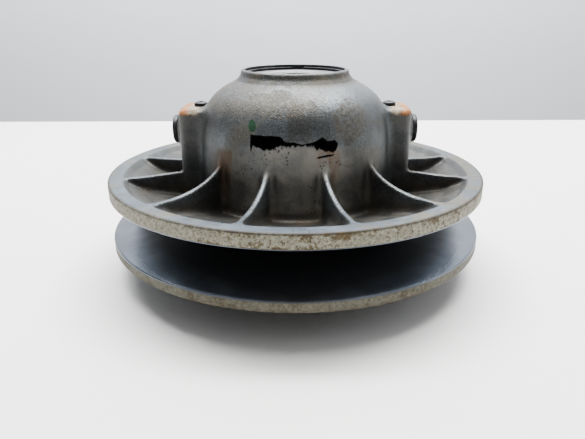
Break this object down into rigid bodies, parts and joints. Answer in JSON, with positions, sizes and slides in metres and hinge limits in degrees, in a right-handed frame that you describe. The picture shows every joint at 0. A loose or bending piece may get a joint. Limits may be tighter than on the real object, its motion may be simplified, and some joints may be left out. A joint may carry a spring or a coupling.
{
  "type": "driven variator pulley",
  "caption": "Driven pulley of a belt variator: a fixed sheave on a hollow post, and a sliding sheave with a ribbed dome over its spring, helix cam and rollers.",
  "frame": {"origin": "on the shaft axis, in the plane of the rear hub face that the pulley stands on", "axes": "+Z along the shaft axis from the rear hub to the open collar; +X through the right-hand roller pin; -Y is the front"},
  "size_m": [0.24, 0.24, 0.1267],
  "materials": {
    "dome_casting": "cast, dull, with brown grime and oxide",
    "sheave_casting": "cast with turned belt faces, oxidised rim",
    "machined_steel": "turned",
    "black_fastener": "black oxide",
    "cam_alloy": "machined",
    "spring_steel": "oiled",
    "bush_bronze": "satin",
    "nylon": "matte",
    "roller_nylon": "satin",
    "rubber": "matte",
    "zinc_plate": "zinc plated"
  },
  "bodies": {
    "fixed_half": {"fixed_sheave": "sheave_casting", "post": "machined_steel", "post_screw_1": "black_fastener", "post_screw_2": "black_fastener", "post_screw_3": "black_fastener", "post_screw_4": "black_fastener", "post_screw_5": "black_fastener", "post_screw_6": "black_fastener", "helix_cam": "cam_alloy", "cam_key": "machined_steel", "cam_circlip": "black_fastener", "spring": "spring_steel", "spring_upper_seat": "machined_steel"},
    "thrust_carrier": {"spring_lower_seat": "machined_steel"},
    "moving_half": {"moveable_sheave": "dome_casting", "lower_bush": "bush_bronze", "upper_bush": "bush_bronze", "hub_seal": "rubber", "thrust_disc": "nylon", "cover_seal": "rubber", "end_cover": "zinc_plate", "cover_snap_ring": "black_fastener", "roller_pin_left": "black_fastener", "roller_pin_right": "black_fastener", "roller_washer_left": "machined_steel", "roller_washer_right": "machined_steel", "pin_lock_screw_left": "black_fastener", "pin_lock_screw_right": "black_fastener"},
    "roller_right_body": {"roller_right": "roller_nylon"},
    "roller_left_body": {"roller_left": "roller_nylon"}
  },
  "joints": [
    {"name": "sheave_slide", "type": "slide", "parent": "fixed_half", "child": "thrust_carrier", "axis": [0, 0, 1], "range_m": [0, 0.02], "stiffness_N_per_m": 4000, "springref_m": -0.03, "deforming": ["spring"]},
    {"name": "sheave_turn", "type": "hinge", "parent": "thrust_carrier", "child": "moving_half", "pos_m": [0, 0, 0.0891], "axis": [0, 0, 1], "range_deg": [0, 36.1]},
    {"name": "roller_right_spin", "type": "hinge", "parent": "moving_half", "child": "roller_right_body", "pos_m": [0.034, 0, 0.0891], "axis": [1, 0, 0], "range_deg": [0, 240]},
    {"name": "roller_left_spin", "type": "hinge", "parent": "moving_half", "child": "roller_left_body", "pos_m": [-0.034, 0, 0.0891], "axis": [-1, 0, 0], "range_deg": [0, 240]}
  ],
  "couplings": [
    {"joint": "sheave_turn", "follows": "sheave_slide", "rad_per_m": 31.416},
    {"joint": "roller_right_spin", "follows": "sheave_slide", "rad_per_m": 209},
    {"joint": "roller_left_spin", "follows": "sheave_slide", "rad_per_m": 209}
  ]
}
